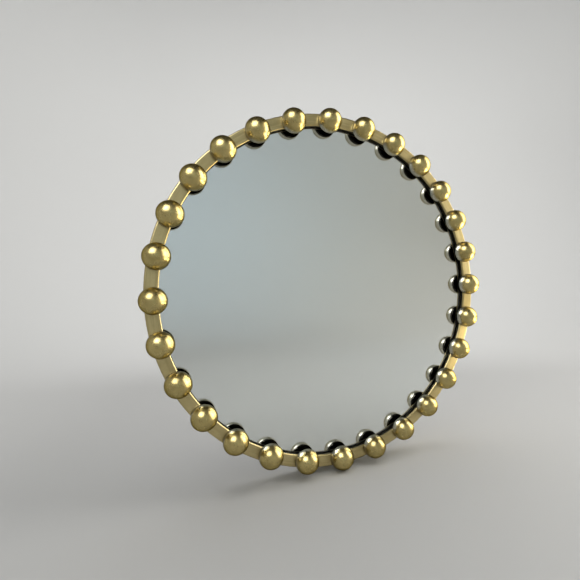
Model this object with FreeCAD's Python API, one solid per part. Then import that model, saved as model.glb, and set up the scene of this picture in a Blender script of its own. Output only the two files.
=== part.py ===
"""Round wall mirror: a brass-finished sheet hoop carrying a ring of balls, with back-silvered glass.

Millimetres. The mirror hangs upright: +Z is up, -Y is the way the glass faces, and the wall is the plane
y = 0. The origin is the centre of the hoop on the wall. Left and right are as seen from the front.
"""

import FreeCAD, Part
import math
import os

from FreeCAD import Vector

# balls
BALL_COUNT = 28
BALL_DIAMETER = 33.0
BALL_CIRCLE_DIAMETER = 475.0
BALL_SEAT_DROP = 4.3
BALL_EDGE_ROUND = 0.4

# hoop: a ring face with a side wall and a short inner lip, formed from one sheet
FACE_WIDTH = 17.0
FACE_INSIDE_BALLS = 6.5
FRAME_DEPTH = 26.0
LIP_DEPTH = 5.5
SHEET = 1.5
CORNER_RADIUS = 2.2
LIP_CORNER_RADIUS = 1.9

# screws that hold the balls, put in from behind the ring face
BALL_SCREW_DIAMETER = 4.0
BALL_SCREW_REACH = 8.0
BALL_SCREW_HEAD_DIAMETER = 7.0
BALL_SCREW_HEAD_HEIGHT = 2.4
BORE_END_ROOM = 1.5

# glass and what backs it
GLASS_THICKNESS = 4.0
GLASS_ARRIS = 0.6
GLASS_OVERLAP = 4.0
SILVERING_THICKNESS = 0.2
TAPE_THICKNESS = 1.8
TAPE_WIDTH = 24.0
TAPE_INSET = 8.0
BOARD_THICKNESS = 5.0
BOARD_EDGE_BREAK = 0.6
BOARD_CLEARANCE = 0.8

# angle clips inside the hoop
CLIP_COUNT = 8
CLIP_WIDTH = 14.0
CLIP_SHEET = 1.2
CLIP_FOOT = 15.0
CLIP_TO_WALL = 2.0
CLIP_BEND_RADIUS = 1.0
CLIP_SCREW_INSET = 8.5
CLIP_WELD_GAP = 0.3

# wood screws for the clips and the hangers
WOOD_SCREW_DIAMETER = 3.5
WOOD_SCREW_REACH = 3.8
WOOD_SCREW_HEAD_DIAMETER = 7.0
WOOD_SCREW_HEAD_HEIGHT = 2.2

# hangers
HANGER_SPACING = 260.0
HANGER_HEIGHT = 120.0
PLATE_SHEET = 1.2
PLATE_WIDTH = 14.0
PLATE_LENGTH = 15.5
PLATE_CORNER = 5.0
PLATE_SCREW_DROP = 9.0
KNUCKLE_WRAP_DEG = 300.0
RING_WIRE = 3.0
RING_INNER_WIDTH = 20.0
RING_INNER_LENGTH = 24.0
RING_CORNER_RADIUS = 3.0

# clearances, on the radius for round ones
SCREW_HOLE_CLEARANCE = 0.25
THREAD_CLEARANCE = 0.05
HINGE_CLEARANCE = 0.06
DRILL_OVERRUN = 2.0

# planes across the depth, from the ball seats back to the wall
face_front = -FRAME_DEPTH
face_back = face_front + SHEET
glass_front = face_front + LIP_DEPTH
glass_back = glass_front + GLASS_THICKNESS
silver_back = glass_back + SILVERING_THICKNESS
board_front = silver_back + TAPE_THICKNESS
board_back = board_front + BOARD_THICKNESS

# radii about the mirror's axis
ball_circle = BALL_CIRCLE_DIAMETER / 2
face_inner = ball_circle - FACE_INSIDE_BALLS
face_outer = face_inner + FACE_WIDTH
wall_inner = face_outer - SHEET
clip_outer = wall_inner - CLIP_WELD_GAP
glass_radius = face_inner + GLASS_OVERLAP
board_radius = wall_inner - BOARD_CLEARANCE

ORIGIN = Vector(0, 0, 0)
AXIS_X = Vector(1, 0, 0)
AXIS_Y = Vector(0, 1, 0)
AXIS_Z = Vector(0, 0, 1)
FULL_TURN = 360.0


def at(radius, depth):
    """A point of a section through the mirror's axis."""
    return Vector(radius, depth, 0)


def arc(start, middle, end):
    """The arc edge through three points."""
    return Part.Arc(start, middle, end).toShape()


def corner(centre, radius, start_deg, end_deg):
    """An arc edge of a section, about a centre, between two angles measured from the radius direction."""
    points = []
    for angle in (start_deg, (start_deg + end_deg) / 2, end_deg):
        turn = math.radians(angle)
        points.append(centre + Vector(radius * math.cos(turn), radius * math.sin(turn), 0))
    return arc(*points)


def closed_section(items):
    """A face from points and edges in order: straight lines join whatever doesn't already meet."""
    edges = []
    ends = []
    for item in items:
        if isinstance(item, Vector):
            ends.append((item, item, None))
        else:
            ends.append((item.firstVertex(True).Point, item.lastVertex(True).Point, item))
    for i, (_, end, edge) in enumerate(ends):
        if edge is not None:
            edges.append(edge)
        start_of_next = ends[(i + 1) % len(ends)][0]
        if not end.isEqual(start_of_next, 1e-7):
            edges.append(Part.makeLine(end, start_of_next))
    return Part.Face(Part.Wire(Part.__sortEdges__(edges)))


def turned(items, angle=FULL_TURN):
    """The solid that a section makes, turned about the mirror's axis."""
    return closed_section(items).revolve(ORIGIN, AXIS_Y, angle)


def disc(radius, front, back, edge_break):
    """A flat round plate with both rims broken by a small chamfer."""
    return turned([
        at(0, front),
        at(radius - edge_break, front),
        at(radius, front + edge_break),
        at(radius, back - edge_break),
        at(radius - edge_break, back),
        at(0, back),
    ])


def around(radius, clock_deg):
    """The place at a radius, at an angle clockwise from the top as seen from the front."""
    turn = math.radians(clock_deg)
    return Vector(radius * math.sin(turn), 0, radius * math.cos(turn))


def pan_screw(diameter, reach, head_diameter, head_height):
    """A pan-head screw along Y: the head's underside is at y = 0, and the shank points to -Y."""
    shank = diameter / 2
    head = head_diameter / 2
    crown = head_height / 2
    tip = shank / 2
    rim = at(head - crown, crown)
    return turned([
        at(0, -reach),
        at(shank - tip, -reach),
        at(shank, -reach + tip),
        at(shank, 0),
        at(head, 0),
        corner(rim, crown, 0, 90),
        at(0, head_height),
    ])


def blind_hole(screw_diameter, depth):
    """The cutting tool of a hole for a screw's thread, from y = 0 towards -Y."""
    return Part.makeCylinder(screw_diameter / 2 + THREAD_CLEARANCE, depth, ORIGIN, -AXIS_Y)


def through_hole(screw_diameter, sheet):
    """The cutting tool of a clearance hole through a sheet whose back is at y = 0."""
    start = Vector(0, DRILL_OVERRUN, 0)
    return Part.makeCylinder(
        screw_diameter / 2 + SCREW_HOLE_CLEARANCE,
        sheet + 2 * DRILL_OVERRUN,
        start,
        -AXIS_Y,
    )


def moved(shape, place):
    """A copy of a shape, moved by a vector."""
    copy = shape.copy()
    copy.translate(place)
    return copy


def frame_hoop():
    """The formed hoop: ring face, side wall and inner lip, rounded bends and a screw hole for each ball."""
    wall_bend = max(CORNER_RADIUS - SHEET, SHEET / 4)
    lip_bend = max(LIP_CORNER_RADIUS - SHEET, SHEET / 4)
    lip_back = face_inner + SHEET
    outer_corner = at(face_outer - CORNER_RADIUS, face_front + CORNER_RADIUS)
    inner_corner = at(face_inner + LIP_CORNER_RADIUS, face_front + LIP_CORNER_RADIUS)
    hoop = turned([
        at(face_outer, 0),
        corner(outer_corner, CORNER_RADIUS, 0, -90),
        corner(inner_corner, LIP_CORNER_RADIUS, 270, 180),
        at(face_inner, glass_front),
        at(lip_back, glass_front),
        corner(at(lip_back + lip_bend, face_back + lip_bend), lip_bend, 180, 270),
        corner(at(wall_inner - wall_bend, face_back + wall_bend), wall_bend, -90, 0),
        at(wall_inner, 0),
    ])
    hole = through_hole(BALL_SCREW_DIAMETER, SHEET)
    behind = Vector(0, face_back, 0)
    holes = [moved(hole, place + behind) for place in ball_places()]
    return hoop.cut(Part.makeCompound(holes))


def ball_places():
    """The ball centres' places round the mirror, from the top clockwise."""
    step = FULL_TURN / BALL_COUNT
    return [around(ball_circle, i * step) for i in range(BALL_COUNT)]


def ball():
    """One ball: a sphere cut flat where it seats on the ring, with a blind bore for its screw."""
    radius = BALL_DIAMETER / 2
    bore = BALL_SCREW_DIAMETER / 2 + THREAD_CLEARANCE
    bore_depth = BALL_SCREW_REACH + BORE_END_ROOM
    centre = at(0, -BALL_SEAT_DROP)
    rim_deg = math.degrees(math.asin((BALL_SEAT_DROP - BALL_EDGE_ROUND) / (radius - BALL_EDGE_ROUND)))
    rim_turn = math.radians(rim_deg)
    reach = radius - BALL_EDGE_ROUND
    rim_centre = centre + Vector(reach * math.cos(rim_turn), reach * math.sin(rim_turn), 0)
    return turned([
        at(0, -bore_depth),
        corner(centre, radius, -90, rim_deg),
        corner(rim_centre, BALL_EDGE_ROUND, rim_deg, 90),
        at(bore, 0),
        at(bore, -bore_depth),
    ])


def ball_screws():
    """The screws that hold the balls, all alike, with their heads behind the ring face."""
    screw = pan_screw(
        BALL_SCREW_DIAMETER,
        BALL_SCREW_REACH + SHEET,
        BALL_SCREW_HEAD_DIAMETER,
        BALL_SCREW_HEAD_HEIGHT,
    )
    seat = Vector(0, face_back, 0)
    return Part.makeCompound([moved(screw, place + seat) for place in ball_places()])


def mirror_glass():
    """The glass disc, pressed against the end of the hoop's lip."""
    return disc(glass_radius, glass_front, glass_back, GLASS_ARRIS)


def mirror_silvering():
    """The silver and its protective paint on the back of the glass."""
    return disc(glass_radius - GLASS_ARRIS, glass_back, silver_back, 0.0)


def cushion_tape():
    """The foam ring that the board presses against the silvered back."""
    outer = glass_radius - TAPE_INSET
    inner = outer - TAPE_WIDTH
    return turned([
        at(inner, silver_back),
        at(outer, silver_back),
        at(outer, board_front),
        at(inner, board_front),
    ])


def backing_board():
    """The board that closes the hoop, with a pilot hole for each wood screw."""
    board = disc(board_radius, board_front, board_back, BOARD_EDGE_BREAK)
    pilot = blind_hole(WOOD_SCREW_DIAMETER, WOOD_SCREW_REACH + THREAD_CLEARANCE)
    seat = Vector(0, board_back, 0)
    places = clip_screw_places() + hanger_screw_places()
    return board.cut(Part.makeCompound([moved(pilot, place + seat) for place in places]))


def clip_angles():
    """The clips' places as clock angles, so that none is at the top or the bottom."""
    step = FULL_TURN / CLIP_COUNT
    return [(i + 0.5) * step for i in range(CLIP_COUNT)]


def clip_screw_places():
    """Where the clips' screws go into the board."""
    return [around(clip_outer - CLIP_SCREW_INSET, angle) for angle in clip_angles()]


def board_clip():
    """One angle clip at the top: a foot on the board and an upright on the hoop's wall, bent from strip."""
    foot_top = board_back + CLIP_SHEET
    upright_end = -CLIP_TO_WALL
    inner_bend = CLIP_BEND_RADIUS
    outer_bend = CLIP_BEND_RADIUS + CLIP_SHEET
    bend = at(clip_outer - outer_bend, board_back + outer_bend)
    sweep = math.degrees(CLIP_WIDTH / clip_outer)
    clip = turned([
        at(clip_outer - CLIP_FOOT, board_back),
        corner(bend, outer_bend, -90, 0),
        at(clip_outer, upright_end),
        at(clip_outer - CLIP_SHEET, upright_end),
        corner(bend, inner_bend, 0, -90),
        at(clip_outer - CLIP_FOOT, foot_top),
    ], sweep)
    clip.rotate(ORIGIN, AXIS_Y, -90 - sweep / 2)
    hole = through_hole(WOOD_SCREW_DIAMETER, CLIP_SHEET)
    return clip.cut(moved(hole, around(clip_outer - CLIP_SCREW_INSET, 0) + Vector(0, foot_top, 0)))


def wood_screw(sheet):
    """A wood screw through a sheet into the board, with its head's underside at y = 0."""
    return pan_screw(
        WOOD_SCREW_DIAMETER,
        WOOD_SCREW_REACH + sheet,
        WOOD_SCREW_HEAD_DIAMETER,
        WOOD_SCREW_HEAD_HEIGHT,
    )


def screws_on_board(places, sheet):
    """A group of wood screws whose heads sit on sheet metal that lies on the board."""
    seat = Vector(0, board_back + sheet, 0)
    return Part.makeCompound([moved(wood_screw(sheet), place + seat) for place in places])


def hanger_pivots():
    """The hangers' hinge points above the board's back, left and right."""
    height = board_back + knuckle_outer()
    half = HANGER_SPACING / 2
    return {
        "left": Vector(-half, height, HANGER_HEIGHT),
        "right": Vector(half, height, HANGER_HEIGHT),
    }


def hanger_screw_places():
    """Where the hangers' screws go into the board."""
    drop = Vector(0, 0, -PLATE_SCREW_DROP)
    return [Vector(pivot.x, 0, pivot.z) + drop for pivot in hanger_pivots().values()]


def knuckle_inner():
    """The inner radius of a hanger plate's rolled knuckle."""
    return RING_WIRE / 2 + HINGE_CLEARANCE


def knuckle_outer():
    """The outer radius of a hanger plate's rolled knuckle."""
    return knuckle_inner() + PLATE_SHEET


def hanger_plate():
    """One strap plate about its hinge point: a flat tongue on the board, rolled round the D-ring's bar."""
    inner = knuckle_inner()
    outer = knuckle_outer()
    half = PLATE_WIDTH / 2

    def on_roll(radius, angle):
        """A point of the roll in the plane x = -half, turning from the board side towards +Z."""
        turn = math.radians(angle)
        return Vector(-half, -radius * math.cos(turn), radius * math.sin(turn))

    middle = KNUCKLE_WRAP_DEG / 2
    foot = -PLATE_LENGTH
    edges = [
        Part.makeLine(Vector(-half, -inner, foot), Vector(-half, -outer, foot)),
        Part.makeLine(Vector(-half, -outer, foot), on_roll(outer, 0)),
        arc(on_roll(outer, 0), on_roll(outer, middle), on_roll(outer, KNUCKLE_WRAP_DEG)),
        Part.makeLine(on_roll(outer, KNUCKLE_WRAP_DEG), on_roll(inner, KNUCKLE_WRAP_DEG)),
        arc(on_roll(inner, KNUCKLE_WRAP_DEG), on_roll(inner, middle), on_roll(inner, 0)),
        Part.makeLine(on_roll(inner, 0), Vector(-half, -inner, foot)),
    ]
    section = Part.Face(Part.Wire(Part.__sortEdges__(edges)))
    plate = section.extrude(Vector(PLATE_WIDTH, 0, 0))
    ends = [e for e in plate.Edges if is_tongue_corner(e, foot)]
    plate = plate.makeFillet(PLATE_CORNER, ends)
    hole = through_hole(WOOD_SCREW_DIAMETER, PLATE_SHEET)
    return plate.cut(moved(hole, Vector(0, -inner, -PLATE_SCREW_DROP)))


def is_tongue_corner(edge, foot):
    """Whether an edge is one of the two corners at the tongue's lower end."""
    low = edge.BoundBox
    return low.ZLength < 1e-6 and low.XLength < 1e-6 and abs(low.ZMin - foot) < 1e-6


def d_ring():
    """One D-ring about its hinge point, hanging down: a bar, two rounded corners, two legs and a bow."""
    wire = RING_WIRE / 2
    half = RING_INNER_WIDTH / 2 + wire
    bow_z = -(RING_INNER_LENGTH - RING_INNER_WIDTH / 2)
    bend = RING_CORNER_RADIUS
    bar_half = half - bend
    pieces = [Part.makeCylinder(wire, 2 * bar_half, Vector(-bar_half, 0, 0), AXIS_X)]
    for side in (-1, 1):
        pieces.append(Part.makeCylinder(wire, -bend - bow_z, Vector(side * half, 0, bow_z), AXIS_Z))
        section = Part.Face(Part.Wire(Part.makeCircle(wire, Vector(side * half, 0, -bend), AXIS_Z)))
        pieces.append(section.revolve(Vector(side * bar_half, 0, -bend), AXIS_Y, -side * 90))
    section = Part.Face(Part.Wire(Part.makeCircle(wire, Vector(half, 0, bow_z), AXIS_Z)))
    pieces.append(section.revolve(Vector(0, 0, bow_z), AXIS_Y, 180))
    return pieces[0].multiFuse(pieces[1:]).removeSplitter()


def save(shape, node):
    """Writes one node's solids."""
    shape.exportStep(f"parts/{node}.step")


def main():
    """Builds every piece where it sits in the mirror."""
    os.makedirs("parts", exist_ok=True)
    save(frame_hoop(), "frame_hoop")
    ball_solid = ball()
    seat = Vector(0, face_front, 0)
    for number, place in enumerate(ball_places(), start=1):
        save(moved(ball_solid, place + seat), f"ball_{number:02d}")
    save(ball_screws(), "ball_screws")
    save(mirror_glass(), "mirror_glass")
    save(mirror_silvering(), "mirror_silvering")
    save(cushion_tape(), "cushion_tape")
    save(backing_board(), "backing_board")
    clip = board_clip()
    for number, angle in enumerate(clip_angles(), start=1):
        placed = clip.copy()
        placed.rotate(ORIGIN, AXIS_Y, angle)
        save(placed, f"board_clip_{number}")
    save(screws_on_board(clip_screw_places(), CLIP_SHEET), "clip_screws")
    for side, pivot in hanger_pivots().items():
        save(moved(hanger_plate(), pivot), f"hanger_plate_{side}")
        save(moved(d_ring(), pivot), f"d_ring_{side}")
    save(screws_on_board(hanger_screw_places(), PLATE_SHEET), "hanger_screws")


main()
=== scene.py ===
"""Looks of the round mirror: a brass hoop studded with balls, silvered glass, and the fittings on its back.

Metres, in the part's own frame: +Z is up as hung, -Y is the way the glass faces, and the wall is at y = 0.
"""

import logging
import math
import random
from dataclasses import dataclass
from enum import Enum
from typing import Any, Mapping, Sequence

import bmesh
import bpy
from mathutils import Euler, Matrix, Vector


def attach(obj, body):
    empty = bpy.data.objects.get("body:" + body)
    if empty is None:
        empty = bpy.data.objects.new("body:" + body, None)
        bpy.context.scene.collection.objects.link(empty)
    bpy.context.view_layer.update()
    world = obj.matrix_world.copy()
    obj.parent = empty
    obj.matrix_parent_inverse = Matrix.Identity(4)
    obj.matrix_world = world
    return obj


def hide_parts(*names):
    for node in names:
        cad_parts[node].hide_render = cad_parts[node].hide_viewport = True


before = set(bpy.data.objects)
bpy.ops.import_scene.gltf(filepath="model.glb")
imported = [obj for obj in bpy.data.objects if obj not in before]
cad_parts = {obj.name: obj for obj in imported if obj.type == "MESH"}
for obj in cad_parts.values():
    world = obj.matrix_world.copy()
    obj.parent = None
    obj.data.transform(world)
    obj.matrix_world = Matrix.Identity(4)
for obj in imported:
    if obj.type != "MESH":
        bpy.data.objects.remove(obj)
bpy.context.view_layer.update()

LOG = logging.getLogger("round_mirror")
MIRROR_BODY = "mirror"
FULL_TURN = 2 * math.pi
QUARTER_TURN = math.pi / 2

Colour = tuple[float, float, float, float]
Triple = tuple[float, float, float]
Point = tuple[float, float]
Pair = tuple[float, float]
Socket = bpy.types.NodeSocket


class Slot(Enum):
    """The record's material slots, one named for each new piece."""

    SCREW = "screw_zinc"
    GLASS = "clear_glass"
    CLIP = "clip_zinc"
    HANGER = "hanger_steel"


class Graph:
    """Adds nodes to one node tree and joins them."""

    def __init__(self, tree: bpy.types.NodeTree) -> None:
        """Keeps the tree that the nodes go into."""
        self.tree = tree

    def join(self, target: Socket, value: Any) -> None:
        """Fills one input.

        Args:
            target: the input.
            value: a socket to join to it, or a value to set on it.
        """
        if isinstance(value, bpy.types.NodeSocket):
            self.tree.links.new(value, target)
        else:
            target.default_value = value

    def feed(self, node: bpy.types.Node, **values: Any) -> None:
        """Fills several inputs of a node.

        Args:
            node: the node.
            values: for each input's name, with _ for a space, a socket to join or a value to set.
        """
        for name, value in values.items():
            self.join(node.inputs[name.replace("_", " ")], value)

    def add(self, kind: str, values: Mapping[Any, Any] | None = None, **settings: Any) -> bpy.types.Node:
        """Adds one node.

        Args:
            kind: the node's type name.
            values: for each input, by name or number, a socket to join or a value to set.
            settings: the node's own properties.

        Returns:
            The new node.
        """
        node = self.tree.nodes.new(kind)
        for name, value in settings.items():
            setattr(node, name, value)
        for key, value in (values or {}).items():
            self.join(node.inputs[key], value)
        return node

    def math(self, operation: str, *values: Any) -> Socket:
        """Adds a Math node.

        Args:
            operation: the sum to do.
            values: its inputs, sockets or numbers.

        Returns:
            The result's socket.
        """
        return self.add("ShaderNodeMath", dict(enumerate(values)), operation=operation).outputs[0]

    def rest(self, share: Socket) -> Socket:
        """Takes a share from one and returns the socket of what is left."""
        return self.math("SUBTRACT", 1.0, share)

    def weigh(self, *shares: tuple[Socket, float]) -> Socket:
        """Adds up values, each times its own weight.

        Args:
            shares: each value's socket and its weight.

        Returns:
            The total's socket.
        """
        total: Any = 0.0
        for value, weight in shares:
            total = self.math("MULTIPLY_ADD", value, weight, total)
        return total

    def ramp(self, value: Any, start: Any, end: Any, low: Any = 0.0, high: Any = 1.0) -> Socket:
        """Adds a soft step.

        Args:
            value: the socket that is read.
            start: the value at which the step begins.
            end: the value at which it ends.
            low: what comes out before the step.
            high: what comes out after it.

        Returns:
            The result's socket.
        """
        values = {0: value, 1: start, 2: end, 3: low, 4: high}
        return self.add("ShaderNodeMapRange", values, interpolation_type="SMOOTHSTEP").outputs[0]

    def span(self, value: Any, low: Any, high: Any) -> Socket:
        """Adds a straight scale from 0..1 to low..high and returns its socket."""
        return self.add("ShaderNodeMapRange", {0: value, 3: low, 4: high}).outputs[0]

    def mix(self, share: Any, first: Any, second: Any) -> Socket:
        """Adds a colour mix.

        Args:
            share: how much of the second colour there is.
            first: the first colour.
            second: the second colour.

        Returns:
            The mixed colour's socket.
        """
        return self.add("ShaderNodeMix", {0: share, 6: first, 7: second}, data_type="RGBA").outputs[2]

    def noise(self, vector: Any, scale: Any, detail: float = 2.0, warp: float = 0.0) -> Socket:
        """Adds a noise.

        Args:
            vector: the coordinates that it is read at.
            scale: how many blotches there are to a metre.
            detail: how many finer layers it has.
            warp: how much it bends itself.

        Returns:
            The noise value's socket, about 0.5 on average.
        """
        values = {"Vector": vector, "Scale": scale, "Detail": detail, "Distortion": warp}
        return self.add("ShaderNodeTexNoise", values).outputs[0]

    def group(self, effect: bpy.types.NodeTree, **values: Any) -> bpy.types.Node:
        """Places a shared effect.

        Args:
            effect: the effect's node group.
            values: for each named input, a socket to join or a value to set.

        Returns:
            The group node.
        """
        node = self.add("ShaderNodeGroup", node_tree=effect)
        self.feed(node, **values)
        return node

    def place(self) -> Socket:
        """Adds the coordinates in the part's own frame and returns their socket."""
        return self.add("ShaderNodeTexCoord").outputs["Object"]

    def depth(self, place: Socket) -> Socket:
        """Takes the Y coordinate, from the wall to the front, and returns its socket."""
        return self.add("ShaderNodeSeparateXYZ", {0: place}).outputs[1]


class Effect:
    """A shared effect: a node group with named inputs and outputs, built once."""

    def __init__(self, name: str, inputs: Mapping[str, Any], outputs: Mapping[str, str]) -> None:
        """Makes the group and its sockets.

        Args:
            name: the group's name.
            inputs: each input's name and usual value; a tuple of 3 is a vector and one of 4 a colour.
            outputs: each output's name and its kind of socket.
        """
        self.tree = bpy.data.node_groups.new(name, "ShaderNodeTree")
        kinds = {1: "NodeSocketFloat", 3: "NodeSocketVector", 4: "NodeSocketColor"}
        for label, usual in inputs.items():
            size = len(usual) if isinstance(usual, tuple) else 1
            socket = self.tree.interface.new_socket(label, in_out="INPUT", socket_type=kinds[size])
            socket.default_value = usual
        for label, kind in outputs.items():
            self.tree.interface.new_socket(label, in_out="OUTPUT", socket_type=kind)
        self.graph = Graph(self.tree)
        self.inputs = self.graph.add("NodeGroupInput").outputs
        self.outputs = self.graph.add("NodeGroupOutput").inputs

    def give(self, label: str, socket: Socket) -> None:
        """Joins a result to the output of that name."""
        self.tree.links.new(socket, self.outputs[label])


class Effects:
    """The effects that several finishes share."""

    def __init__(self) -> None:
        """Builds each effect once."""
        self.turned_place = self._turned_place()
        self.polish = self._polish()
        self.tarnish = self._tarnish()
        self.coat_and_shade_end = self._coat_and_shade_end()
        self.specks = self._specks()
        self.edge_wear = self._edge_wear()

    def _turned_place(self) -> bpy.types.NodeTree:
        """Builds coordinates about the mirror's axis: distance from it, way round it, and depth.

        Returns:
            The node group.
        """
        effect = Effect(
            "turned_place",
            {"Place": (0.0, 0.0, 0.0), "Round": 0.01},
            {"Radius": "NodeSocketFloat", "Depth": "NodeSocketFloat", "Vector": "NodeSocketVector"},
        )
        g = effect.graph
        x, depth, z = g.add("ShaderNodeSeparateXYZ", {0: effect.inputs["Place"]}).outputs
        radius = g.math("SQRT", g.math("ADD", g.math("MULTIPLY", x, x), g.math("MULTIPLY", z, z)))
        turn = g.math("MULTIPLY", g.math("ARCTAN2", x, z), effect.inputs["Round"])
        vector = g.add("ShaderNodeCombineXYZ", {0: radius, 1: turn, 2: depth}).outputs[0]
        effect.give("Radius", radius)
        effect.give("Depth", depth)
        effect.give("Vector", vector)
        return effect.tree

    def _polish(self) -> bpy.types.NodeTree:
        """Builds the marks that polishing leaves on metal: fine grain, longer lines and gentle unevenness.

        Returns:
            The node group.
        """
        effect = Effect(
            "polish",
            {"Vector": (0.0, 0.0, 0.0), "Grain": 2500.0, "Lines": 600.0, "Unevenness": 60.0},
            {"Height": "NodeSocketFloat", "Dullness": "NodeSocketFloat"},
        )
        g = effect.graph
        vector = effect.inputs["Vector"]
        grain = g.noise(vector, effect.inputs["Grain"], detail=3.0)
        lines = g.noise(vector, effect.inputs["Lines"], detail=4.0, warp=0.3)
        swell = g.noise(vector, effect.inputs["Unevenness"], detail=1.0)
        effect.give("Height", g.weigh((lines, 0.35), (grain, 0.25), (swell, 0.4)))
        effect.give("Dullness", g.weigh((swell, 0.45), (lines, 0.55)))
        return effect.tree

    def _tarnish(self) -> bpy.types.NodeTree:
        """Builds the slow darkening of a metal's colour in soft clouds and fine mottling.

        Returns:
            The node group.
        """
        effect = Effect(
            "tarnish",
            {
                "Place": (0.0, 0.0, 0.0), "Clouds": 30.0, "Mottle": 900.0, "Amount": 0.5,
                "Clean": (0.6, 0.5, 0.2, 1.0), "Old": (0.3, 0.2, 0.1, 1.0),
            },
            {"Colour": "NodeSocketColor"},
        )
        g = effect.graph
        broad = g.noise(effect.inputs["Place"], effect.inputs["Clouds"], detail=4.0, warp=0.6)
        fine = g.noise(effect.inputs["Place"], effect.inputs["Mottle"], detail=2.0)
        clouds = g.ramp(broad, start=0.35, end=0.75)
        mottle = g.ramp(fine, start=0.4, end=0.8)
        mask = g.math("MULTIPLY", g.weigh((clouds, 0.7), (mottle, 0.3)), effect.inputs["Amount"])
        effect.give("Colour", g.mix(mask, effect.inputs["Clean"], effect.inputs["Old"]))
        return effect.tree

    def _coat_and_shade_end(self) -> bpy.types.NodeTree:
        """Builds the soft, slightly ragged line where a sprayed or plated finish ends; it also edges the
        black bands of painted shade on the hoop and on the balls.

        Returns:
            The node group.
        """
        effect = Effect(
            "coat_and_shade_end",
            {"Place": (0.0, 0.0, 0.0), "Along": 0.0, "Line": 0.0, "Softness": 0.0004, "Ragged": 0.0003},
            {"Mask": "NodeSocketFloat"},
        )
        g = effect.graph
        spread = g.math("SUBTRACT", g.noise(effect.inputs["Place"], scale=700.0, detail=3.0), 0.5)
        along = g.math("MULTIPLY_ADD", spread, effect.inputs["Ragged"], effect.inputs["Along"])
        past = g.math("SUBTRACT", along, effect.inputs["Line"])
        share = g.math("DIVIDE", past, effect.inputs["Softness"])
        effect.give("Mask", g.ramp(share, start=-0.5, end=0.5))
        return effect.tree

    def _specks(self) -> bpy.types.NodeTree:
        """Builds scattered dust specks on a faint film.

        Returns:
            The node group.
        """
        effect = Effect(
            "specks",
            {"Place": (0.0, 0.0, 0.0), "Scale": 220.0, "Film": 0.1},
            {"Mask": "NodeSocketFloat"},
        )
        g = effect.graph
        bare_share = 0.82
        where = {"Vector": effect.inputs["Place"], "Scale": effect.inputs["Scale"]}
        cells = g.add("ShaderNodeTexVoronoi", where).outputs
        dots = g.ramp(cells["Distance"], start=0.05, end=0.09, low=1.0, high=0.0)
        chance = g.add("ShaderNodeSeparateColor", {0: cells["Color"]}).outputs[0]
        kept = g.math("MULTIPLY", dots, g.math("GREATER_THAN", chance, bare_share))
        smear = g.noise(effect.inputs["Place"], scale=9.0, detail=5.0, warp=0.8)
        film = g.ramp(smear, start=0.45, end=0.85)
        effect.give("Mask", g.math("MULTIPLY_ADD", film, effect.inputs["Film"], kept))
        return effect.tree

    def _edge_wear(self) -> bpy.types.NodeTree:
        """Builds the bright rubbed line along outer edges.

        Returns:
            The node group.
        """
        effect = Effect(
            "edge_wear",
            {"Place": (0.0, 0.0, 0.0), "Scale": 500.0, "Amount": 1.0},
            {"Mask": "NodeSocketFloat"},
        )
        g = effect.graph
        edge = g.ramp(g.add("ShaderNodeNewGeometry").outputs["Pointiness"], start=0.52, end=0.60)
        patches = g.noise(effect.inputs["Place"], effect.inputs["Scale"], detail=3.0)
        broken = g.ramp(patches, start=0.3, end=0.6)
        effect.give("Mask", g.math("MULTIPLY", g.math("MULTIPLY", edge, broken), effect.inputs["Amount"]))
        return effect.tree


@dataclass(frozen=True)
class Finish:
    """What every finish has: a name, and the start of its material."""

    name: str

    def start(self) -> tuple[bpy.types.Material, Graph, bpy.types.Node]:
        """Makes an empty material with a Principled shader.

        Returns:
            The material, its graph and its shader node.
        """
        material = bpy.data.materials.new(self.name)
        material.use_nodes = True
        graph = Graph(material.node_tree)
        material.node_tree.nodes.clear()
        shader = graph.add("ShaderNodeBsdfPrincipled")
        graph.add("ShaderNodeOutputMaterial", {"Surface": shader.outputs[0]})
        return material, graph, shader

    def bump(self, g: Graph, shader: bpy.types.Node, height: Socket, depth: float) -> None:
        """Raises a surface by a height map.

        Args:
            g: the material's graph.
            shader: the shader that takes the normal.
            height: the height, 0 to 1.
            depth: the height of a full step, in metres.
        """
        bump = g.add("ShaderNodeBump", {"Height": height, "Strength": 1.0, "Distance": depth})
        g.feed(shader, Normal=bump.outputs[0])


@dataclass(frozen=True)
class AgedBrass(Finish):
    """Antique brass with black laid over it in places; the black is partly painted shade."""

    clean: Colour = (0.59, 0.49, 0.25, 1.0)
    old: Colour = (0.36, 0.28, 0.12, 1.0)
    black: Colour = (0.008, 0.008, 0.007, 1.0)
    edge_tint: Colour = (0.62, 0.56, 0.42, 1.0)
    rough: Pair = (0.26, 0.42)
    black_rough: float = 0.6
    clouds: float = 26.0
    amount: float = 0.55
    relief: float = 0.00002

    def aged(self, g: Graph, effects: Effects, place: Socket) -> Socket:
        """Adds the tarnished colour.

        Args:
            g: the material's graph.
            effects: the shared effects.
            place: the coordinates in the part's own frame.

        Returns:
            The colour's socket.
        """
        tarnish = g.group(
            effects.tarnish, Place=place, Clouds=self.clouds, Amount=self.amount, Clean=self.clean,
            Old=self.old)
        return tarnish.outputs["Colour"]

    def lay(
        self, g: Graph, shader: bpy.types.Node, polish: bpy.types.Node, brass: Socket, dark: Socket,
    ) -> None:
        """Puts the polished brass on the shader, and the black, which is partly painted shade, over it.

        Args:
            g: the material's graph.
            shader: the material's shader.
            polish: the polishing marks.
            brass: the brass's colour.
            dark: how far the brass is covered in black, which is partly painted shade, 0 to 1.
        """
        satin = g.span(polish.outputs["Dullness"], *self.rough)
        g.feed(
            shader,
            Base_Color=g.mix(dark, brass, self.black),
            Metallic=g.rest(dark),
            Roughness=g.ramp(dark, 0.0, 1.0, low=satin, high=self.black_rough),
            Specular_Tint=self.edge_tint,
        )
        self.bump(g, shader, polish.outputs["Height"], self.relief)


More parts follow.
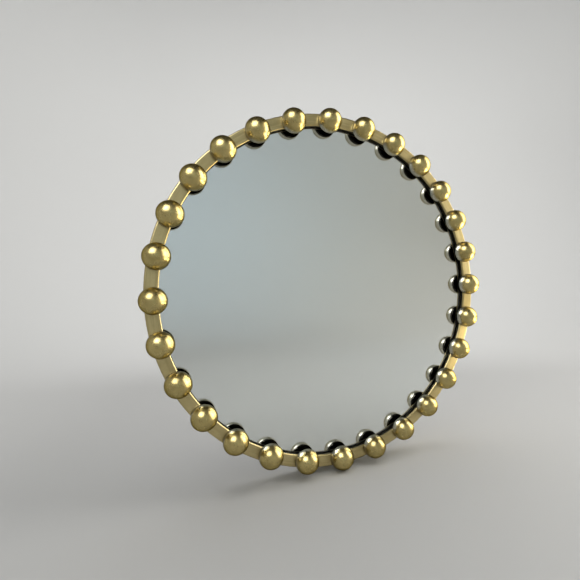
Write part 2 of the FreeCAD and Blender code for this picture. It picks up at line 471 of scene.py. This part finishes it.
@dataclass(frozen=True)
class HoopBrass(AgedBrass):
    """Satin antique brass on the hoop's outside, black on its inside and on its inner cut edge: black paint
    that is also painted shade for the dark gap between the hoop's lip and the glass.
    """

    # Where the black paint and painted shade start: behind this depth and inside this radius.
    inside_depth: float = -0.0234
    inside_radius: float = 0.2473
    line_stretch: float = 0.006
    lines: float = 900.0
    groove: Pair = (0.40, 0.62)
    groove_share: float = 0.6

    def make(self, effects: Effects) -> bpy.types.Material:
        """Builds the material.

        Args:
            effects: the shared effects.

        Returns:
            The material.
        """
        material, g, shader = self.start()
        place = g.place()
        turned = g.group(effects.turned_place, Place=place, Round=self.line_stretch).outputs
        polish = g.group(
            effects.polish, Vector=turned["Vector"], Grain=6000.0, Lines=self.lines, Unevenness=90.0)
        aged = self.aged(g, effects, place)
        behind = g.group(
            effects.coat_and_shade_end, Place=place, Along=turned["Depth"], Line=self.inside_depth, Softness=0.0003,
            Ragged=0.0002)
        outside = g.group(
            effects.coat_and_shade_end, Place=place, Along=turned["Radius"], Line=self.inside_radius, Softness=0.0004,
            Ragged=0.0006)
        # The black inside of the hoop is black paint and painted shade together: it stands in for the shade
        # in the narrow gap over the glass.
        inside = g.math("MULTIPLY", behind.outputs["Mask"], g.rest(outside.outputs["Mask"]))
        groove = g.ramp(polish.outputs["Dullness"], *self.groove, low=0.0, high=self.groove_share)
        self.lay(g, shader, polish, g.mix(groove, aged, self.old), inside)
        return material


@dataclass(frozen=True)
class BallBrass(AgedBrass):
    """Polished antique brass that pales down the side of the ball and turns black at its base; the black
    band is painted shade for the shadow between ball and ring.
    """

    clean: Colour = (0.53, 0.43, 0.185, 1.0)
    old: Colour = (0.27, 0.20, 0.06, 1.0)
    pale: Colour = (0.62, 0.59, 0.49, 1.0)
    black: Colour = (0.006, 0.006, 0.005, 1.0)
    edge_tint: Colour = (0.22, 0.19, 0.12, 1.0)
    rough: Pair = (0.22, 0.34)
    black_rough: float = 0.5
    clouds: float = 55.0
    amount: float = 0.6
    relief: float = 0.00003
    pale_depth: Pair = (-0.0370, -0.0305)
    # Where the black band of painted shade at the ball's base begins.
    black_line: float = -0.0266

    def make(self, effects: Effects) -> bpy.types.Material:
        """Builds the material.

        Args:
            effects: the shared effects.

        Returns:
            The material.
        """
        material, g, shader = self.start()
        place = g.place()
        depth = g.depth(place)
        polish = g.group(effects.polish, Vector=place, Grain=5200.0, Lines=900.0, Unevenness=110.0)
        aged = self.aged(g, effects, place)
        thin = g.ramp(depth, *self.pale_depth)
        # Painted shade: the ball turns black from here back to its seat, standing in for the shadow between
        # ball and ring.
        black_shade_band = g.group(
            effects.coat_and_shade_end, Place=place, Along=depth, Line=self.black_line, Softness=0.0005, Ragged=0.0005)
        self.lay(g, shader, polish, g.mix(thin, aged, self.pale), black_shade_band.outputs["Mask"])
        return material


@dataclass(frozen=True)
class FloatGlass(Finish):
    """Clear glass with a breath of green, a faint film and a few specks of dust."""

    colour: Colour = (0.982, 0.994, 0.988, 1.0)
    index: float = 1.52
    rough: Pair = (0.0, 0.16)

    def make(self, effects: Effects) -> bpy.types.Material:
        """Builds the material.

        Args:
            effects: the shared effects.

        Returns:
            The material.
        """
        material, g, shader = self.start()
        specks = g.group(effects.specks, Place=g.place(), Scale=190.0, Film=0.05)
        g.feed(
            shader, Base_Color=self.colour, IOR=self.index, Transmission_Weight=1.0, Metallic=0.0,
            Roughness=g.span(specks.outputs["Mask"], *self.rough),
        )
        return material


@dataclass(frozen=True)
class SilverCoat(Finish):
    """Silver towards the glass, with a brushed-on grey paint behind it."""

    silver: Colour = (0.87, 0.88, 0.87, 1.0)
    paint: Colour = (0.20, 0.22, 0.23, 1.0)
    thick_paint: Colour = (0.13, 0.14, 0.15, 1.0)
    paint_from: float = -0.01645
    rough: Pair = (0.0, 0.55)

    def make(self, effects: Effects) -> bpy.types.Material:
        """Builds the material.

        Args:
            effects: the shared effects.

        Returns:
            The material.
        """
        material, g, shader = self.start()
        place = g.place()
        coat_and_shade_end = g.group(
            effects.coat_and_shade_end, Place=place, Along=g.depth(place), Line=self.paint_from, Softness=0.00004,
            Ragged=0.0)
        painted = coat_and_shade_end.outputs["Mask"]
        strokes = g.noise(place, scale=240.0, detail=4.0, warp=0.4)
        paint = g.mix(strokes, self.paint, self.thick_paint)
        g.feed(
            shader,
            Base_Color=g.mix(painted, self.silver, paint),
            Metallic=g.rest(painted),
            Roughness=g.span(painted, *self.rough),
        )
        return material


@dataclass(frozen=True)
class BlackBoard(Finish):
    """Fibreboard with one coat of rolled-on black paint, thin and brown at its rim."""

    paint: Colour = (0.022, 0.021, 0.020, 1.0)
    worn: Colour = (0.060, 0.055, 0.050, 1.0)
    fibre: Colour = (0.26, 0.17, 0.10, 1.0)
    rough: Pair = (0.42, 0.68)
    rim: float = 0.2453
    relief: float = 0.00009

    def make(self, effects: Effects) -> bpy.types.Material:
        """Builds the material.

        Args:
            effects: the shared effects.

        Returns:
            The material.
        """
        material, g, shader = self.start()
        place = g.place()
        turned = g.group(effects.turned_place, Place=place)
        stipple = g.noise(place, scale=1300.0, detail=3.0)
        fibres = g.noise(place, scale=420.0, detail=5.0, warp=1.2)
        dust = g.group(effects.specks, Place=place, Scale=260.0, Film=0.55)
        rim = g.group(
            effects.coat_and_shade_end, Place=place, Along=turned.outputs["Radius"], Line=self.rim, Softness=0.0005,
            Ragged=0.0009)
        paint = g.mix(dust.outputs["Mask"], self.paint, self.worn)
        g.feed(
            shader,
            Base_Color=g.mix(g.math("MULTIPLY", rim.outputs["Mask"], fibres), paint, self.fibre),
            Roughness=g.span(stipple, *self.rough),
        )
        self.bump(g, shader, g.weigh((stipple, 1.0), (fibres, 0.5)), self.relief)
        return material


@dataclass(frozen=True)
class Foam(Finish):
    """Closed-cell foam tape."""

    cell: Colour = (0.045, 0.045, 0.047, 1.0)
    wall: Colour = (0.085, 0.085, 0.088, 1.0)
    rough: Pair = (0.85, 0.95)
    cells: float = 1500.0
    relief: float = 0.0003

    def make(self, effects: Effects) -> bpy.types.Material:
        """Builds the material.

        Args:
            effects: the shared effects.

        Returns:
            The material.
        """
        material, g, shader = self.start()
        place = g.place()
        cells = g.add("ShaderNodeTexVoronoi", {"Vector": place, "Scale": self.cells}).outputs["Distance"]
        dust = g.group(effects.specks, Place=place, Scale=300.0, Film=0.2)
        g.feed(
            shader,
            Base_Color=g.mix(cells, self.cell, self.wall),
            Roughness=g.span(dust.outputs["Mask"], *self.rough),
        )
        self.bump(g, shader, cells, self.relief)
        return material


@dataclass(frozen=True)
class PlatedSteel(Finish):
    """Bright plating on steel: drawn lines, a cloudy haze and rubbed edges."""

    clean: Colour = (0.60, 0.60, 0.58, 1.0)
    old: Colour = (0.38, 0.37, 0.34, 1.0)
    rubbed: Colour = (0.78, 0.78, 0.77, 1.0)
    rough: Pair = (0.24, 0.46)
    amount: float = 0.6
    relief: float = 0.00002

    def make(self, effects: Effects) -> bpy.types.Material:
        """Builds the material.

        Args:
            effects: the shared effects.

        Returns:
            The material.
        """
        material, g, shader = self.start()
        place = g.place()
        polish = g.group(effects.polish, Vector=place, Grain=5000.0, Lines=1500.0, Unevenness=200.0)
        haze = g.group(
            effects.tarnish, Place=place, Clouds=160.0, Mottle=1600.0, Amount=self.amount, Clean=self.clean,
            Old=self.old)
        wear = g.group(effects.edge_wear, Place=place, Scale=900.0, Amount=0.8)
        g.feed(
            shader, Metallic=1.0,
            Base_Color=g.mix(wear.outputs["Mask"], haze.outputs["Colour"], self.rubbed),
            Roughness=g.span(polish.outputs["Dullness"], *self.rough),
        )
        self.bump(g, shader, polish.outputs["Height"], self.relief)
        return material


class Piece:
    """Small jobs on one visible piece."""

    same_point: float = 1e-6
    flat_deg: float = 0.5
    sharp_deg: float = 40.0

    @staticmethod
    def from_bmesh(name: str, shape: bmesh.types.BMesh, smooth_deg: float = 30.0) -> bpy.types.Object:
        """Turns a bmesh into an object.

        Args:
            name: the piece's name.
            shape: its mesh, which is freed.
            smooth_deg: edges that turn by less are shaded smooth.

        Returns:
            The new object, in the scene.
        """
        bmesh.ops.recalc_face_normals(shape, faces=shape.faces)
        limit = math.radians(smooth_deg)
        for face in shape.faces:
            face.smooth = True
        for edge in shape.edges:
            edge.smooth = len(edge.link_faces) == 2 and edge.calc_face_angle(0.0) < limit
        mesh = bpy.data.meshes.new(name)
        shape.to_mesh(mesh)
        shape.free()
        piece = bpy.data.objects.new(name, mesh)
        bpy.context.scene.collection.objects.link(piece)
        return piece

    @staticmethod
    def turned(profile: Sequence[Point], steps: int) -> bmesh.types.BMesh:
        """Turns a section about the Y axis.

        Args:
            profile: (radius, depth) points in order; a point on the axis closes that end.
            steps: how many faces go round.

        Returns:
            The turned mesh.
        """
        shape = bmesh.new()
        rings: list[list[bmesh.types.BMVert]] = []
        for radius, depth in profile:
            if radius == 0.0:
                rings.append([shape.verts.new((0.0, depth, 0.0))])
                continue
            ring = []
            for step in range(steps):
                turn = FULL_TURN * step / steps
                ring.append(shape.verts.new((radius * math.sin(turn), depth, radius * math.cos(turn))))
            rings.append(ring)
        for near, far in zip(rings, rings[1:]):
            for step in range(steps):
                after = (step + 1) % steps
                corners = ((near, step), (near, after), (far, after), (far, step))
                face = dict.fromkeys(ring[index % len(ring)] for ring, index in corners)
                shape.faces.new(list(face))
        return shape

    @staticmethod
    def stamped(mesh: bpy.types.Mesh, places: Sequence[Matrix]) -> bmesh.types.BMesh:
        """Copies a mesh to several places.

        Args:
            mesh: the mesh that is copied.
            places: where each copy goes.

        Returns:
            All the copies as one mesh.
        """
        shape = bmesh.new()
        for place in places:
            start = len(shape.verts)
            shape.from_mesh(mesh)
            shape.verts.ensure_lookup_table()
            bmesh.ops.transform(shape, matrix=place, verts=shape.verts[start:])
        return shape

    @staticmethod
    def softened(node: str, name: str, width: float, segments: int = 2) -> bpy.types.Object:
        """Copies a node with its sharp edges rounded.

        Args:
            node: the node that is copied.
            name: the new piece's name.
            width: how far the rounding reaches from each edge.
            segments: how many faces it has across.

        Returns:
            The new piece.
        """
        shape = bmesh.new()
        shape.from_mesh(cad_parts[node].data)
        bmesh.ops.remove_doubles(shape, verts=shape.verts, dist=Piece.same_point)
        bmesh.ops.dissolve_limit(
            shape, angle_limit=math.radians(Piece.flat_deg), use_dissolve_boundaries=False,
            verts=shape.verts, edges=shape.edges)
        limit = math.radians(Piece.sharp_deg)
        sharp = [e for e in shape.edges if len(e.link_faces) == 2 and e.calc_face_angle(0.0) > limit]
        bmesh.ops.bevel(
            shape, geom=sharp, offset=width, offset_type="OFFSET", segments=segments, profile=0.5,
            affect="EDGES", clamp_overlap=True)
        return Piece.from_bmesh(name, shape)

    @staticmethod
    def settle(piece: bpy.types.Object, slot: Slot, material: bpy.types.Material, *nodes: str) -> None:
        """Gives a piece its material and its body, and hides the nodes that it stands for.

        Args:
            piece: the piece, which rides on the mirror.
            slot: the record's slot for the piece; not used.
            material: its material.
            nodes: the nodes that it stands for.
        """
        piece.data.materials.clear()
        piece.data.materials.append(material)
        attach(piece, MIRROR_BODY)
        if nodes:
            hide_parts(*nodes)
        LOG.info("piece %s rides on %s and stands for %s", piece.name, MIRROR_BODY, list(nodes))

    @staticmethod
    def dress(node: str, material: bpy.types.Material) -> None:
        """Puts a material on a node that stays as it is.

        Args:
            node: the node.
            material: its material.
        """
        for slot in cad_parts[node].material_slots:
            slot.material = material
        LOG.info("node %s stays and wears %s", node, material.name)


@dataclass
class Hoop:
    """The brass hoop."""

    node: str = "frame_hoop"

    def dress(self, effects: Effects) -> None:
        """Puts its finish on the hoop."""
        Piece.dress(self.node, HoopBrass("satin_brass").make(effects))


@dataclass
class BallRing:
    """The balls round the hoop, and the screws that hold them."""

    count: int = 28
    screws: str = "ball_screws"

    def dress(self, effects: Effects, zinc: bpy.types.Material) -> None:
        """Puts their finishes on the balls and on their screws.

        Args:
            effects: the shared effects.
            zinc: the screws' material.
        """
        brass = BallBrass("polished_brass").make(effects)
        for number in range(1, self.count + 1):
            Piece.dress(f"ball_{number:02d}", brass)
        Piece.dress(self.screws, zinc)


@dataclass
class GlassPack:
    """The glass and the silvering on its back."""

    pane: str = "mirror_glass"
    coat: str = "mirror_silvering"
    radius: float = 0.2350
    front: float = -0.02048
    back: float = -0.01652
    arris: float = 0.0006
    steps: int = 192

    def build(self) -> bpy.types.Object:
        """Turns the pane, a hair clear of the ring and of the silvering so that no faces coincide.

        Returns:
            The pane.
        """
        profile = [
            (0.0, self.front),
            (self.radius - self.arris, self.front),
            (self.radius, self.front + self.arris),
            (self.radius, self.back - self.arris),
            (self.radius - self.arris, self.back),
            (0.0, self.back),
        ]
        return Piece.from_bmesh("glass_pane", Piece.turned(profile, self.steps))

    def dress(self, effects: Effects) -> None:
        """Puts glass on a new pane and silver on the coat behind it.

        Args:
            effects: the shared effects.
        """
        glass = FloatGlass("float_glass").make(effects)
        Piece.settle(self.build(), Slot.GLASS, glass, self.pane)
        Piece.dress(self.coat, SilverCoat("silver_coat").make(effects))


@dataclass
class BackPack:
    """The foam tape and the board that close the hoop from behind."""

    board: str = "backing_board"
    tape: str = "cushion_tape"

    def dress(self, effects: Effects) -> None:
        """Puts paint on the board and foam on the tape."""
        Piece.dress(self.board, BlackBoard("black_board").make(effects))
        Piece.dress(self.tape, Foam("foam_tape").make(effects))


@dataclass
class Screws:
    """The cross-recessed wood screws that hold the clips and the hangers."""

    seat: float = -0.0083
    head_radius: float = 0.0035
    head_height: float = 0.0022
    head_flat: float = 0.3
    edge_height: float = 0.0007
    edge_break: float = 0.0002
    shank_radius: float = 0.00175
    shank_length: float = 0.0030
    slot_width: float = 0.0009
    slot_reach: float = 0.0019
    slot_depth: float = 0.0013
    slot_taper: float = 0.45
    cutter_rise: float = 0.0005
    dome_steps: int = 9
    steps: int = 48
    clip_radius: float = 0.2377
    clip_count: int = 8
    hanger_x: float = 0.13
    hanger_z: float = 0.111
    seed: int = 7

    def blank(self) -> bmesh.types.BMesh:
        """Turns one screw about the Y axis, with its head's underside at y = 0.

        Returns:
            Its mesh, without the recess.
        """
        flat = self.head_radius * self.head_flat
        profile: list[Point] = [
            (0.0, -self.shank_length),
            (self.shank_radius, -self.shank_length),
            (self.shank_radius, 0.0),
            (self.head_radius - self.edge_break, 0.0),
            (self.head_radius, self.edge_break),
            (self.head_radius, self.edge_height),
        ]
        rise = self.head_height - self.edge_height
        for step in range(1, self.dome_steps + 1):
            turn = QUARTER_TURN * step / self.dome_steps
            radius = flat + (self.head_radius - flat) * math.cos(turn)
            profile.append((radius, self.edge_height + rise * math.sin(turn)))
        profile.append((0.0, self.head_height))
        return Piece.turned(profile, self.steps)

    def cross(self) -> bmesh.types.BMesh:
        """Makes the tapered cross that cuts the recess.

        Returns:
            Its mesh, a cross that widens towards +Y.
        """
        shape = bmesh.new()
        half = self.slot_width / 2
        outline = []
        for quarter in range(4):
            spin = Matrix.Rotation(quarter * QUARTER_TURN, 3, "Y")
            for x, z in ((half, half), (self.slot_reach, half), (self.slot_reach, -half)):
                outline.append(spin @ Vector((x, 0.0, z)))
        floor = self.head_height - self.slot_depth
        mouth = self.head_height + self.cutter_rise
        top = [shape.verts.new((p.x, mouth, p.z)) for p in outline]
        low = [shape.verts.new((p.x * self.slot_taper, floor, p.z * self.slot_taper)) for p in outline]
        shape.faces.new(top)
        shape.faces.new(low[::-1])
        for index in range(len(outline)):
            after = (index + 1) % len(outline)
            shape.faces.new((top[index], low[index], low[after], top[after]))
        return shape

    def build(self) -> bpy.types.Mesh:
        """Cuts the recess into a screw.

        Returns:
            The screw's mesh.
        """
        screw = Piece.from_bmesh("screw_blank", self.blank())
        cutter = Piece.from_bmesh("cross_cutter", self.cross())
        cut = screw.modifiers.new("cross", "BOOLEAN")
        cut.object = cutter
        cut.operation = "DIFFERENCE"
        cut.solver = "EXACT"
        bpy.context.view_layer.update()
        shaped = screw.evaluated_get(bpy.context.evaluated_depsgraph_get())
        mesh = bpy.data.meshes.new_from_object(shaped)
        bpy.data.objects.remove(cutter)
        bpy.data.objects.remove(screw)
        return mesh

    def places(self) -> dict[str, list[Point]]:
        """Gives the screws' places.

        Returns:
            For each node of screws, the (x, z) place of each.
        """
        clips = []
        for index in range(self.clip_count):
            turn = FULL_TURN * (index + 0.5) / self.clip_count
            clips.append((self.clip_radius * math.sin(turn), self.clip_radius * math.cos(turn)))
        hangers = [(-self.hanger_x, self.hanger_z), (self.hanger_x, self.hanger_z)]
        return {"clip_screws": clips, "hanger_screws": hangers}

    def dress(self, zinc: bpy.types.Material) -> None:
        """Puts a cross-recessed screw in each place, each turned as far as it happened to go.

        Args:
            zinc: the screws' material.
        """
        chance = random.Random(self.seed)
        mesh = self.build()
        for node, places in self.places().items():
            stamps = []
            for x, z in places:
                spin = Matrix.Rotation(chance.uniform(0.0, QUARTER_TURN), 4, "Y")
                stamps.append(Matrix.Translation((x, self.seat, z)) @ spin)
            piece = Piece.from_bmesh(f"{node}_crossed", Piece.stamped(mesh, stamps))
            Piece.settle(piece, Slot.SCREW, zinc, node)
        bpy.data.meshes.remove(mesh)


@dataclass
class Clips:
    """The angle clips inside the hoop, with their rounded strip edges and spot welds."""

    count: int = 8
    edge: float = 0.00022
    upright_radius: float = 0.2450
    weld_depth: float = -0.0046
    weld_side: float = 0.0036
    weld_radius: float = 0.0013
    weld_height: float = 0.00016
    weld_steps: int = 20
    weld_section: tuple[Point, ...] = (
        (0.0, 0.2), (0.4, 0.25), (0.66, 0.8), (0.8, 1.0), (0.93, 0.7), (1.0, -1.0), (0.0, -1.0))

    def weld(self) -> bpy.types.Mesh:
        """Turns one spot weld about the Y axis: a shallow dish with a raised rim.

        Returns:
            Its mesh.
        """
        profile = [(out * self.weld_radius, up * self.weld_height) for out, up in self.weld_section]
        shape = Piece.turned(profile, self.weld_steps)
        mesh = bpy.data.meshes.new("weld_master")
        shape.to_mesh(mesh)
        shape.free()
        return mesh

    def build(self, number: int) -> tuple[bpy.types.Object, bpy.types.Object]:
        """Makes one clip and its pair of welds.

        Args:
            number: the clip's number, from 1.

        Returns:
            The clip and its welds.
        """
        clip = Piece.softened(f"board_clip_{number}", f"clip_strip_{number}", self.edge)
        spin = Matrix.Rotation(FULL_TURN * (number - 0.5) / self.count, 4, "Y")
        face_in = Matrix.Rotation(-QUARTER_TURN, 4, "X")
        stamps = []
        for side in (-self.weld_side, self.weld_side):
            lift = Matrix.Translation((side, self.weld_depth, self.upright_radius))
            stamps.append(spin @ lift @ face_in)
        mesh = self.weld()
        welds = Piece.from_bmesh(f"clip_welds_{number}", Piece.stamped(mesh, stamps))
        bpy.data.meshes.remove(mesh)
        return clip, welds

    def dress(self, zinc: bpy.types.Material) -> None:
        """Puts each clip and its welds in place.

        Args:
            zinc: the clips' material.
        """
        for number in range(1, self.count + 1):
            clip, welds = self.build(number)
            Piece.settle(clip, Slot.CLIP, zinc, f"board_clip_{number}")
            Piece.settle(welds, Slot.CLIP, zinc)


@dataclass
class Hangers:
    """The strap plates and their D-rings."""

    edge: float = 0.0002
    sides: tuple[str, ...] = ("left", "right")
    strap: PlatedSteel = PlatedSteel(
        "nickel_strap", clean=(0.66, 0.64, 0.60, 1.0), old=(0.46, 0.44, 0.40, 1.0), rough=(0.2, 0.36))
    wire: PlatedSteel = PlatedSteel(
        "nickel_wire", clean=(0.70, 0.68, 0.64, 1.0), old=(0.50, 0.48, 0.44, 1.0), rough=(0.14, 0.28),
        amount=0.4)

    def dress(self, effects: Effects) -> None:
        """Rounds the plates' edges and puts nickel on plates and rings.

        Args:
            effects: the shared effects.
        """
        strap = self.strap.make(effects)
        wire = self.wire.make(effects)
        for side in self.sides:
            node = f"hanger_plate_{side}"
            piece = Piece.softened(node, f"hanger_strap_{side}", self.edge)
            Piece.settle(piece, Slot.HANGER, strap, node)
            Piece.dress(f"d_ring_{side}", wire)


class Shown(Enum):
    """Where a lamp shows: whether it lights matt paint, and whether polished metal and glass mirror it."""

    ON_PAINT = (True, False)
    IN_METAL = (False, True)


class Outline(Enum):
    """The outline of a lamp."""

    RECTANGLE = "RECTANGLE"
    ELLIPSE = "ELLIPSE"


@dataclass(frozen=True)
class Lamp:
    """One soft flat lamp."""

    name: str
    place: Triple
    aim: Triple
    size: Pair
    power: float
    tint: Triple = (1.0, 1.0, 1.0)
    shown: Shown = Shown.ON_PAINT
    spread_deg: float = 180.0
    outline: Outline = Outline.RECTANGLE

    def hang(self) -> None:
        """Puts the lamp in the scene, facing its aim."""
        light = bpy.data.lights.new(self.name, "AREA")
        light.shape = self.outline.value
        light.size, light.size_y = self.size
        light.energy = self.power
        light.color = self.tint
        light.spread = math.radians(self.spread_deg)
        lamp = bpy.data.objects.new(self.name, light)
        lamp.location = self.place
        lamp.rotation_euler = (Vector(self.place) - Vector(self.aim)).to_track_quat("Z", "Y").to_euler()
        lamp.visible_diffuse, lamp.visible_glossy = self.shown.value
        lamp.visible_transmission = lamp.visible_glossy
        bpy.context.scene.collection.objects.link(lamp)


@dataclass
class Studio:
    """A pale round studio: a floor that curves up into a wall all round, soft lamps and an even sky."""

    floor_z: float = -0.2543
    flat_radii: tuple[float, ...] = (0.0, 0.3, 0.7)
    cove_start: float = 1.1
    cove_radius: float = 1.1
    wall_top: float = 2.9
    cove_steps: int = 16
    steps: int = 160
    pale: Colour = (0.58, 0.58, 0.57, 1.0)
    rough: Pair = (0.75, 0.9)
    sky: Colour = (0.07, 0.07, 0.07, 1.0)
    lamps: tuple[Lamp, ...] = (
        Lamp(
            "window", (1.40, -0.28, 0.68), aim=(0.0, 0.0, 0.35), size=(1.45, 1.86), power=18.5,
            tint=(1.0, 0.97, 0.91), shown=Shown.IN_METAL, spread_deg=110.0),
        Lamp(
            "softbox", (-0.70, -0.74, 0.92), aim=(0.0, 0.0, 0.0), size=(0.92, 0.92), power=4.2,
            tint=(0.97, 0.98, 1.0), shown=Shown.IN_METAL, spread_deg=90.0),
        Lamp(
            "low_card", (0.92, -0.15, -0.245), aim=(0.90, -0.15, 0.9), size=(0.8, 0.8), power=18.0,
            tint=(1.0, 0.86, 0.55), shown=Shown.IN_METAL, outline=Outline.ELLIPSE),
        Lamp(
            "key", (1.15, -0.45, 0.95), aim=(0.0, 0.0, -0.1), size=(0.9, 0.9), power=8.0,
            tint=(1.0, 0.98, 0.95)),
        Lamp("side_wash", (-0.6, 0.3, 0.9), aim=(-2.0, 0.7, 0.6), size=(1.6, 0.9), power=6.0),
        Lamp("overhead", (0.0, 0.35, 2.5), aim=(0.0, 0.35, 0.0), size=(2.4, 2.4), power=31.0),
        Lamp(
            "cool_wash", (-0.35, -0.8, 0.75), aim=(0.1, -2.2, 0.55), size=(1.0, 0.7), power=3.6,
            tint=(0.60, 0.84, 1.0), spread_deg=115.0),
        Lamp(
            "warm_wash", (0.55, -0.5, 0.75), aim=(1.5, -1.5, 0.3), size=(1.0, 0.8), power=1.9,
            tint=(1.0, 0.86, 0.60), spread_deg=120.0),
        Lamp("back_wash", (0.3, 0.6, 0.9), aim=(0.9, 2.1, 0.6), size=(1.6, 0.9), power=16.0),
    )

    def build(self) -> bpy.types.Object:
        """Turns the floor and the wall.

        Returns:
            Both as one object.
        """
        profile: list[Point] = [(radius, 0.0) for radius in self.flat_radii]
        for step in range(self.cove_steps + 1):
            turn = QUARTER_TURN * step / self.cove_steps
            out = self.cove_start + self.cove_radius * math.sin(turn)
            profile.append((out, self.cove_radius * (1 - math.cos(turn))))
        profile.append((self.cove_start + self.cove_radius, self.wall_top))
        shape = Piece.turned(profile, self.steps)
        stand = Matrix.Translation((0.0, 0.0, self.floor_z)) @ Matrix.Rotation(QUARTER_TURN, 4, "X")
        bmesh.ops.transform(shape, matrix=stand, verts=shape.verts)
        return Piece.from_bmesh("studio_floor", shape, smooth_deg=60.0)

    def dress(self) -> None:
        """Sets up floor, lamps and sky."""
        material, g, shader = Finish("studio_paint").start()
        rolled = g.noise(g.place(), scale=3.0, detail=3.0)
        g.feed(shader, Base_Color=self.pale, Roughness=g.span(rolled, *self.rough))
        floor = self.build()
        floor.data.materials.append(material)
        for lamp in self.lamps:
            lamp.hang()
        world = bpy.data.worlds.new("sky")
        world.use_nodes = True
        Graph(world.node_tree).feed(world.node_tree.nodes["Background"], Color=self.sky, Strength=1.0)
        bpy.context.scene.world = world


@dataclass
class PhotoCamera:
    """The camera at the photograph's viewing angle."""

    place: Triple = (-0.23342, -0.54548, 0.02238)
    turn_deg: Triple = (88.454, 2.147, -22.760)
    sensor: float = 36.0
    lens: float = 24.95
    shift: Pair = (-0.0592, -0.0059)

    def build(self) -> None:
        """Sets up the camera and the plain view transform."""
        data = bpy.data.cameras.new("photo_camera")
        data.sensor_width = self.sensor
        data.lens = self.lens
        data.shift_x, data.shift_y = self.shift
        camera = bpy.data.objects.new("photo_camera", data)
        camera.location = self.place
        camera.rotation_euler = Euler([math.radians(angle) for angle in self.turn_deg])
        bpy.context.scene.collection.objects.link(camera)
        bpy.context.scene.camera = camera
        bpy.context.scene.view_settings.view_transform = "Standard"


def main() -> None:
    """Builds every sub-assembly in order."""
    logging.basicConfig(level=logging.INFO, format="%(message)s")
    PhotoCamera().build()
    Studio().dress()
    effects = Effects()
    screw_zinc = PlatedSteel("zinc_screw", rough=(0.22, 0.4)).make(effects)
    clip_zinc = PlatedSteel("zinc_strip", clean=(0.58, 0.58, 0.57, 1.0)).make(effects)
    Hoop().dress(effects)
    BallRing().dress(effects, screw_zinc)
    GlassPack().dress(effects)
    BackPack().dress(effects)
    Clips().dress(clip_zinc)
    Screws().dress(screw_zinc)
    Hangers().dress(effects)


if __name__ == "__main__":
    main()
